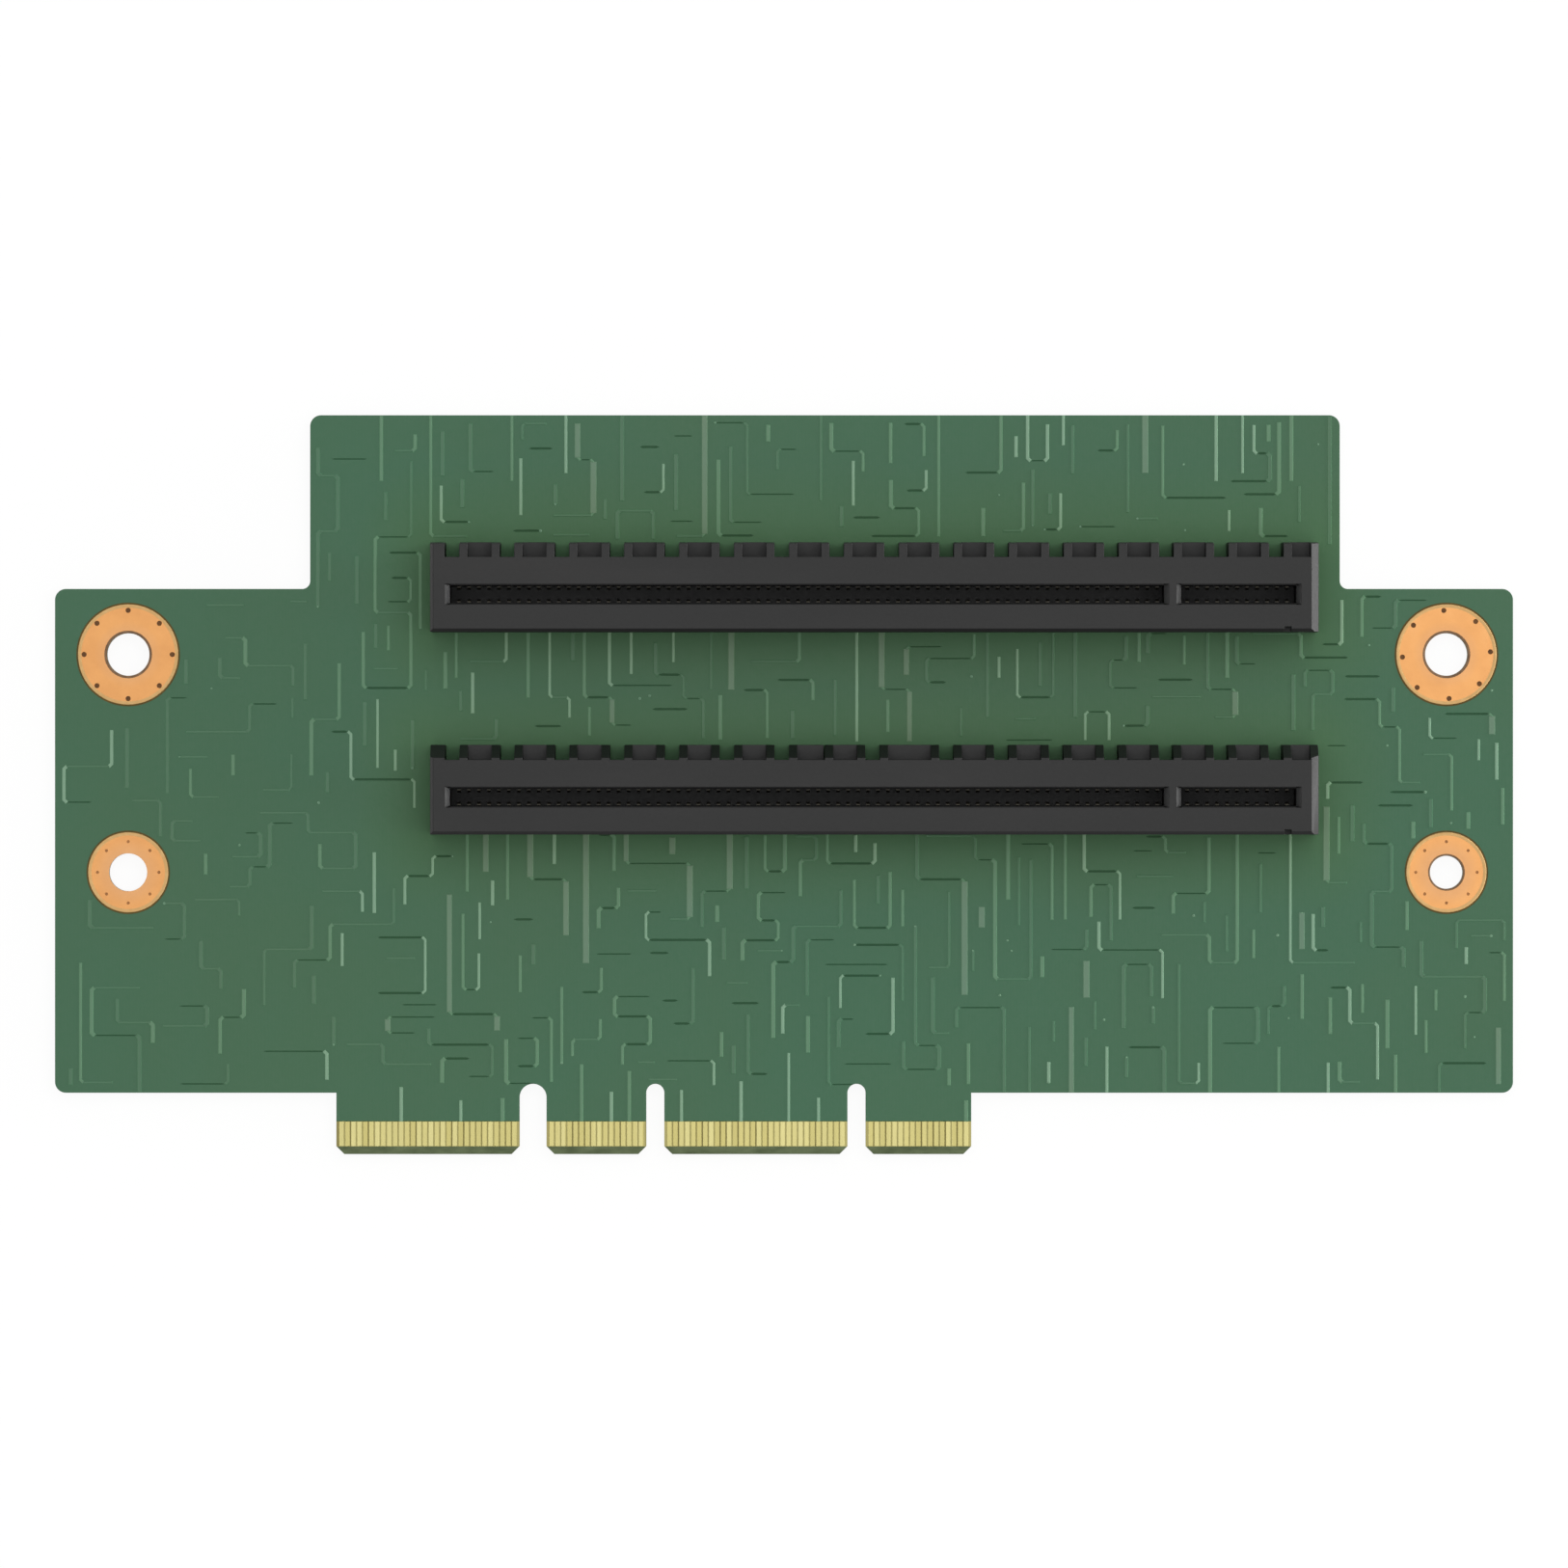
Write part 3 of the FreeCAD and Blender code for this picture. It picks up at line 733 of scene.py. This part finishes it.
def open_board(x, y):
    """Whether a spot lies on open board, clear of the outline, rings and slots."""
    room = TRACK_MARGIN
    between_ends = board_low.x + room < x < board_high.x - room
    in_body = between_ends and BODY_EDGE_Y + room < y < SHOULDER_Y - room
    in_head = HEAD_LEFT_X + room < x < HEAD_RIGHT_X - room and 0 < y < board_high.y - room
    if not (in_body or in_head):
        return False
    for centres, radius in ring_pairs.values():
        for centre in centres:
            if math.hypot(x - centre[0], y - centre[1]) < radius + room:
                return False
    for low, high in housings.values():
        if low.x - room < x < high.x + room and low.y < y < high.y + room / 2:
            return False
    return True


class Layout:
    """Seeded routing of one face: each path goes up or down, then across, and so on."""

    UPRIGHT_RUNS = (1.4, 2, 3, 4, 5, 6, 8, 12)  # longest lengths in mm
    LEVEL_RUNS = (1.4, 2, 3, 4, 5, 6.5)
    SHORTEST_RUN = 1.3 * MM
    UPRIGHT_FIRST = 0.58  # share of the paths that start up or down
    TURN_BACK = 0.25  # chance that the next upright run goes the other way

    def __init__(self, seed, quiet_share):
        self.dice = random.Random(seed)
        self.quiet_share = quiet_share
        self.taken = set()

    def cell(self, spot):
        """Column and row of a spot on the grid."""
        return (round(spot.x / CELL), round(spot.y / CELL))

    def free(self, spot):
        """Whether a spot is on open board and clear of the paths so far."""
        return open_board(spot.x, spot.y) and self.cell(spot) not in self.taken

    def take(self, start, end):
        """Keep the next paths off this run and two cells round it."""
        steps = max(1, int((end - start).length / CELL))
        for step in range(steps + 1):
            column, row = self.cell(start.lerp(end, step / steps))
            for over in (-2, -1, 0, 1, 2):
                for up in (-2, -1, 0, 1, 2):
                    if abs(over) + abs(up) < 4:
                        self.taken.add((column + over, row + up))

    def reach(self, start, way, longest):
        """How far a run gets from start before it meets something."""
        gone = 0.0
        while gone + CELL <= longest and self.free(start + way * (gone + CELL)):
            gone += CELL
        return gone

    def spot(self):
        """A random free spot; only the quiet share of those in the quiet part is used."""
        while True:
            x = self.dice.uniform(board_low.x, board_high.x)
            y = self.dice.uniform(BODY_EDGE_Y, board_high.y)
            share = self.quiet_share if x < QUIET_X else 1.0
            if self.dice.random() < share and self.free(Vector((x, y))):
                return Vector((x, y))

    def path(self, start, turns, rise=0):
        """Corners of a path with up to that many turns; a given rise sends it up or down first."""
        dice = self.dice
        corners = [start]
        upright = rise != 0 or dice.random() < self.UPRIGHT_FIRST
        rise = rise or dice.choice((-1, 1))
        for _ in range(turns + 1):
            if upright:
                way, longest = Vector((0, rise)), dice.choice(self.UPRIGHT_RUNS) * MM
            else:
                way, longest = Vector((dice.choice((-1, 1)), 0)), dice.choice(self.LEVEL_RUNS) * MM
            got = self.reach(corners[-1], way, longest)
            if got < self.SHORTEST_RUN:
                break
            corners.append(corners[-1] + way * got)
            if len(corners) > 2:
                self.take(corners[-3], corners[-2])
            upright = not upright
            if dice.random() < self.TURN_BACK:
                rise = -rise
        if len(corners) > 1:
            self.take(corners[-2], corners[-1])
        return corners


def slit(start, end, width):
    """A narrow loop with pointed ends round a straight run, for a gap in the copper."""
    way = (end - start).normalized()
    side = Vector((-way.y, way.x)) * width / 2
    point = way * min(SLIT_POINT, (end - start).length / 3)
    near, far = start + point, end - point
    return [start, near - side, far - side, end, far + side, near + side]


class Tracks:
    """The raised tracks of each style and the gaps of one face, gathered path by path."""

    OWN_STYLE = 0.75  # chance that an upright run keeps its path's style

    def __init__(self, dice, base, top):
        self.dice = dice
        self.base, self.top = base, top
        self.raised = {style: Faces() for style in TRACK_STYLES}
        self.gaps = []

    def raise_run(self, style, path, width):
        """One raised run along a path."""
        self.raised[style].strip(path, width, self.base, self.top, TRACK_SLOPE)

    def draw(self, corners, style):
        """A path with cut corners: upright runs are raised in their lighter tones, in part painted
        highlight; level runs are raised in the faint tone, in part painted shade, or cut as gaps.
        """
        last = len(corners) - 2
        kinds = QUIET_KINDS if corners[0].x < QUIET_X else TRACK_STYLES[style].kinds
        for index, (start, end) in enumerate(zip(corners, corners[1:])):
            way = (end - start).normalized()
            near = start + way * CORNER_CUT if index else start
            far = end - way * CORNER_CUT if index < last else end
            # painted light: level runs are made faint or gaps, upright runs keep their path's
            # lighter tone
            runs_level = abs(way.x) > 0.5
            if runs_level:
                kind = self.dice.choice(kinds)
                if kind in GAP_WIDTHS:
                    self.gaps.append(slit(near, far, GAP_WIDTHS[kind]))
                else:
                    self.raise_run("faint", [near, far], THIN_TRACK)
                continue
            keeps = self.dice.random() < self.OWN_STYLE
            own = style if keeps else self.dice.choice(("middling", "faint"))
            width = self.dice.choice(TRACK_STYLES[own].widths) * MM
            bends = [near, far]
            if index:
                bends.insert(0, start + (corners[index - 1] - start).normalized() * CORNER_CUT)
            if index < last:
                bends.append(end + (corners[index + 2] - end).normalized() * CORNER_CUT)
            if width < BROAD_TRACK:
                self.raise_run(own, bends, width)
                continue
            self.raise_run(own, [near, far], width)
            if index:
                self.raise_run("middling", bends[:2], THIN_TRACK)
            if index < last:
                self.raise_run("middling", bends[-2:], THIN_TRACK)


def edge_starts(side, dice):
    """Places on edges where a track comes in, each with the way it goes, 1 up or -1 down."""
    edge = 0.08 * MM  # how far inside the outline they lie
    rows = [
        # left end, right end, height, way, mean spacing
        (HEAD_LEFT_X + 4 * MM, HEAD_RIGHT_X - MM, board_high.y - edge, -1, 5.5 * MM),
        (board_low.x + 4 * MM, finger_low.x - MM, BODY_EDGE_Y + edge, 1, 9 * MM),
        (RIGHT_OF_TONGUE_X, board_high.x - 3 * MM, BODY_EDGE_Y + edge, 1, 4.5 * MM),
    ]
    if side == "front":
        for low, high in housings.values():
            rows.append((low.x + MM, high.x - MM, low.y - 0.02 * MM, -1, 4.5 * MM))
    starts = []
    for left, right, y, rise, spacing in rows:
        x = left + dice.uniform(0.3, 1) * spacing
        while x < right:
            starts.append((Vector((x, y)), rise))
            x += dice.uniform(0.4, 1.6) * spacing
    return starts


# ---------------------------------------------------------------- copper pours, gaps and tracks

FIRST_STEP = 0.9  # mm, from an edge to where a path starts to look for room
FINGER_TRACKS = 0.12  # chance that a track runs up from a finger
CAPPED_ENDS = 0.12  # chance that a path ends in a via cap
LONE_CAPS = 24  # via caps away from any path's end
PEG_HOLE_ROUND = 8 * MM  # the loops shorter than this go round the slots' pegs
QUIET_FAINT = 0.65  # chance that a path in the quiet part is faint whatever its style
CAP_RADII = (0.08, 0.15)  # mm
CAP_CROWN = 0.01 * MM


def route_fingers(side, layout, tracks):
    """Tracks that run straight up from some of the fingers."""
    dice = layout.dice
    for section in FINGER_SECTIONS:
        low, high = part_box("%s_fingers_%d" % (side, section))
        x = low.x + FINGER_WIDTH / 2
        while x < high.x:
            if dice.random() < FINGER_TRACKS:
                end = Vector((x, BODY_EDGE_Y + dice.uniform(-1, 4) * MM))
                start = Vector((x, MASK_STOP))
                layout.take(start, end)
                tracks.draw([start, end], dice.choice(("bright", "middling")))
                x += FINGER_PITCH
            x += FINGER_PITCH


def route_edges(side, layout, tracks):
    """Paths that come in from the edges."""
    dice = layout.dice
    for start, rise in edge_starts(side, dice):
        first = start + Vector((0, rise)) * FIRST_STEP * MM
        if layout.free(first):
            corners = layout.path(first, dice.choice((0, 0, 1, 2, 3)), rise)
            if len(corners) > 1:
                layout.take(start, first)
                style = dice.choice(("bright", "middling", "broad", "faint"))
                tracks.draw([start] + corners[1:], style)


def route_inside(count, layout, tracks):
    """That many tries at a path from anywhere; gives the ends that take a via cap."""
    dice = layout.dice
    shares = [style.share for style in TRACK_STYLES.values()]
    ends = []
    for _ in range(count):
        corners = layout.path(layout.spot(), dice.choice((0, 1, 2, 3, 4, 5, 6)))
        if len(corners) < 2:
            continue
        style = dice.choices(list(TRACK_STYLES), shares)[0]
        if corners[0].x < QUIET_X and dice.random() < QUIET_FAINT:
            style = "faint"
        tracks.draw(corners, style)
        if dice.random() < CAPPED_ENDS:
            ends.append(corners[-1])
    return ends


def dress_face(side, seed, quiet_share, count):
    """Pour, gaps, tracks and via caps of one face, in that face's own seeded layout."""
    level, direction = SIDES[side]
    base = level + POUR_RISE * direction
    top = base + TRACK_RISE * direction
    layout = Layout(seed, quiet_share)
    tracks = Tracks(layout.dice, base, top)
    route_fingers(side, layout, tracks)
    route_edges(side, layout, tracks)
    ends = route_inside(count, layout, tracks)

    outer, *inner = board_loops(level, direction)
    outline = lifted_above(inset(outer, POUR_INSET), MASK_STOP)
    holes = [circle(x, y, ring + HALO) for centres, ring in ring_pairs.values() for x, y in centres]
    if side == "back":
        holes += [loop for loop in inner if len_round(loop) < PEG_HOLE_ROUND]
    plate(
        side + "_copper_pour",
        [outline],
        holes + tracks.gaps,
        level,
        POUR_RISE * direction,
        POUR_SLOPE,
        mask_material,
    )
    for style, gathered in tracks.raised.items():
        name = "%s_%s_tracks" % (side, style)
        gathered.piece(name, track_materials[style], "board_laminate", direction)

    caps = Faces()
    ends += [layout.spot() for _ in range(LONE_CAPS)]
    for spot in ends:
        radius = layout.dice.uniform(*CAP_RADII) * MM
        crown = top + CAP_CROWN * direction
        profile = ((radius, base), (radius * 0.8, top), (radius * 0.2, crown))
        caps.lathe(spot.x, spot.y, profile, CAP_SEGMENTS)
    caps.piece(side + "_via_caps", cap_material, "board_laminate", direction)


nodes["riser_board"].data.materials.clear()
nodes["riser_board"].data.materials.append(board_material)
dress_face("front", seed=11, quiet_share=0.35, count=520)
dress_face("back", seed=23, quiet_share=1.0, count=420)

# ---------------------------------------------------------------- mounting rings

RING_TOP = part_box("upper_mounting_rings")[1].z
RING_VIAS = 8
RING_OVERLAP = 0.02 * MM  # lip, halo and copper reach this far past each other
UPPER_RIGHT_TURN = math.radians(3.4)  # of the upper right ring's vias
COPPER_SLOPE = 0.015 * MM
LIP_WIDTH = 0.24 * MM  # from the ring's edge to the end of the lip's level top
LIP_REACH = 0.3 * MM  # and to its foot on the copper
NARROWEST_RIM = 0.05 * MM  # bare laminate narrower than this isn't shown

# radii: a via, the circle of vias, and the left and right hole and copper's inner edge
RingPair = namedtuple("RingPair", "via via_circle holes inners")
RINGS = {
    "upper": RingPair(0.26 * MM, 4.44 * MM, (2.14 * MM, 2.14 * MM), (2.4 * MM, 2.4 * MM)),
    "lower": RingPair(0.16 * MM, 3.09 * MM, (1.92 * MM, 1.66 * MM), (1.92 * MM, 1.86 * MM)),
}


def dress_rings(tier, side):
    """Copper rings with via bores, the mask's lip round them and bare laminate inside."""
    node = tier + "_mounting_rings"
    centres, outer = ring_pairs[tier]
    pair = RINGS[tier]
    level, direction = SIDES[side]
    thickness = (RING_TOP - FRONT) * direction
    bores, cups, lips, bare, halos = [], Faces(), Faces(), Faces(), Faces()

    def at(share):
        """A height, as a share of the copper's thickness above the board."""
        return level + share * thickness

    bore = (
        (pair.via, at(1)),
        (pair.via * 0.92, at(0.5)),
        (pair.via * 0.3, at(0.12)),
        (0.01 * MM, at(0.1)),
    )
    lip = (
        (outer + RING_OVERLAP, at(0.5)),
        (outer - RING_OVERLAP, at(1.25)),
        (outer - LIP_WIDTH, at(1.25)),
        (outer - LIP_REACH, at(1)),
    )
    halo = ((outer + HALO + RING_OVERLAP, at(0.3)), (outer, at(0.3)))
    for index, (x, y) in enumerate(centres):
        hole, inner = pair.holes[index], pair.inners[index]
        bores.append(circle(x, y, inner))
        turn = UPPER_RIGHT_TURN if index == 1 and tier == "upper" else 0.0
        for step in range(RING_VIAS):
            angle = turn + TAU * step / RING_VIAS
            spot = (x + pair.via_circle * math.cos(angle), y + pair.via_circle * math.sin(angle))
            bores.append(circle(*spot, pair.via, VIA_SEGMENTS))
            cups.lathe(*spot, bore, VIA_SEGMENTS)
        lips.lathe(x, y, lip, LIP_SEGMENTS)
        halos.lathe(x, y, halo, LIP_SEGMENTS)
        if inner - hole > NARROWEST_RIM:
            rim = ((inner, at(0.4)), (hole + 0.03 * MM, at(0.3)), (hole, level))
            bare.lathe(x, y, rim, ROUND_SEGMENTS)
    copper = plate(
        "%s_%s_copper" % (side, node),
        [circle(x, y, outer - RING_OVERLAP) for x, y in centres],
        bores,
        level,
        thickness,
        COPPER_SLOPE,
        copper_material,
    )
    if side == "front":
        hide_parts(node)
    groups = (
        ("via_bores", cups, via_materials[tier], "ring_copper"),
        ("mask_lips", lips, lip_material, "board_laminate"),
        ("bare_rims", bare, bare_material, "board_laminate"),
        ("halos", halos, halo_material, "board_laminate"),
    )
    for name, gathered, material, slot in groups:
        gathered.piece("%s_%s_%s" % (side, node, name), material, slot, direction, smooth=True)


for tier in TIERS:
    for side in SIDES:
        dress_rings(tier, side)

# ---------------------------------------------------------------- gold fingers

PLATING_RISE = 0.05 * MM
PLATING_WIDTH = 0.45 * MM  # across the level top
PLATING_SLOPE = 0.025 * MM


def dress_fingers(side, section):
    """One section's fingers with sloped flanks and ends, in place of the plain ones."""
    node = "%s_fingers_%d" % (side, section)
    low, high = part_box(node)
    count = round((high.x - low.x - FINGER_WIDTH) / FINGER_PITCH) + 1
    base, direction = SIDES[side]
    top = base + PLATING_RISE * direction
    gathered = Faces()
    for index in range(count):
        middle = low.x + FINGER_WIDTH / 2 + FINGER_PITCH * index
        foot = Vector((middle, FINGER_FOOT + 0.03 * MM))
        head = Vector((middle, FINGER_TOP - 0.02 * MM))
        gathered.strip([foot, head], PLATING_WIDTH, base, top, PLATING_SLOPE)
    piece = gathered.piece(node + "_plating", gold_material, "finger_gold", direction)
    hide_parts(node)


for section in FINGER_SECTIONS:
    for side in SIDES:
        dress_fingers(side, section)

# ---------------------------------------------------------------- slot housings and contacts

HOUSING_ROUNDING = 0.06 * MM
ROUNDED_FROM = math.radians(25)  # edges that turn by less stay as they are
SAME_PLANE = math.radians(1)


def round_housing(tier):
    """The CAD's housing with its edges rounded, in place of the plain one."""
    node, name = tier + "_slot_housing", tier + "_slot_moulding"
    mesh = bmesh.new()
    mesh.from_mesh(nodes[node].data)
    bmesh.ops.remove_doubles(mesh, verts=mesh.verts, dist=MERGE)
    bmesh.ops.dissolve_limit(mesh, angle_limit=SAME_PLANE, verts=mesh.verts, edges=mesh.edges)
    data = bpy.data.meshes.new(name)
    mesh.to_mesh(data)
    mesh.free()
    data.materials.append(plastic_material)
    piece = placed(name, data)
    bevel = piece.modifiers.new("rounding", "BEVEL")
    bevel.width = HOUSING_ROUNDING
    bevel.segments = 2
    bevel.limit_method = "ANGLE"
    bevel.angle_limit = ROUNDED_FROM
    bevel.use_clamp_overlap = True
    bevel.harden_normals = True
    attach(piece, "root")
    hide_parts(node)


for tier in TIERS:
    round_housing(tier)

CONTACT_WIDTH = 0.44 * MM
CONTACT_PITCH = 1.0 * MM
CONTACT_STOCK = 0.11 * MM
SPRING_LINE = (
    # distance from the slot's middle plane in mm, and share of the contact's height
    (1.36, 0.0), (1.3, 0.22), (1.12, 0.5), (0.86, 0.7),
    (0.62, 0.84), (0.58, 0.88), (0.66, 0.92), (0.8, 0.95),
)
NECK_SHARE = 0.6  # from this share of the height up, a spring is narrower
NECK_WIDTH = 0.8


def contact_row(tier, row, letter):
    """The node of a row of contacts, its box and how many contacts it has."""
    node = "%s_slot_%s_contacts_%s" % (tier, row, letter)
    low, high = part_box(node)
    return node, low, high, round((high.x - low.x) / CONTACT_PITCH) + 1


def dress_contacts(tier, row, letter, way):
    """A row of bent springs, each from its root over the bow that touches to its tip."""
    node, low, high, count = contact_row(tier, row, letter)
    middle_y = housings[tier][0].y + HOUSING_HALF
    tall = high.z - low.z
    gathered = Faces()
    first = low.x + (high.x - low.x - CONTACT_PITCH * (count - 1)) / 2
    for index in range(count):
        x = first + CONTACT_PITCH * index
        points, faces = [], []
        for reach, share in SPRING_LINE:
            half = CONTACT_WIDTH / 2 * (1.0 if share < NECK_SHARE else NECK_WIDTH)
            outer = middle_y + way * reach * MM
            inner = outer - way * CONTACT_STOCK
            z = low.z + tall * share
            points += [(x - half, outer, z), (x + half, outer, z)]
            points += [(x + half, inner, z), (x - half, inner, z)]
        for step in range(len(SPRING_LINE) - 1):
            a = step * 4
            for corner in range(4):
                b = (corner + 1) % 4
                faces.append((a + corner, a + b, a + 4 + b, a + 4 + corner))
        end = (len(SPRING_LINE) - 1) * 4
        faces.append((end, end + 1, end + 2, end + 3))
        gathered.add(points, faces)
    name = node.replace("contacts", "springs")
    piece = gathered.piece(name, contact_material, "contact_metal", -way, smooth=True)
    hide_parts(node)


for tier in TIERS:
    for row in ("long", "short"):
        dress_contacts(tier, row, "a", 1)
        dress_contacts(tier, row, "b", -1)

# ---------------------------------------------------------------- solder joints under the slots

# radius and depth behind the board, in mm
PAD_PROFILE = ((0.52, 0.03), (0.5, 0.06), (0.3, 0.07))
JOINT_PROFILE = (
    (0.46, 0.05), (0.36, 0.2), (0.24, 0.42), (0.18, 0.62),
    (0.17, 0.81), (0.06, 0.86), (0.005, 0.86),
)
JOINT_REACHES = (1.15, 3.05)  # mm from the slot's middle plane, in turn along a row


def behind(profile):
    """A lathe profile behind the board."""
    return [(radius * MM, BACK - depth * MM) for radius, depth in profile]


def solder_joints(tier):
    """Pads, solder cones and tail tips behind one slot, in four staggered rows."""
    middle_y = housings[tier][0].y + HOUSING_HALF
    pads, cones = Faces(), Faces()
    for row in ("long", "short"):
        _, low, high, count = contact_row(tier, row, "a")
        first = (low.x + high.x - CONTACT_PITCH * (count - 1)) / 2
        for index in range(count):
            for way in (1, -1):
                reach = JOINT_REACHES[index % 2] * MM
                x, y = first + CONTACT_PITCH * index, middle_y + way * reach
                pads.lathe(x, y, behind(PAD_PROFILE), PAD_SEGMENTS)
                cones.lathe(x, y, behind(JOINT_PROFILE), JOINT_SEGMENTS)
    pads.piece(tier + "_solder_pads", copper_material, "ring_copper", -1, smooth=True)
    cones.piece(tier + "_solder_joints", solder_material, "contact_metal", -1, smooth=True)


for tier in TIERS:
    solder_joints(tier)
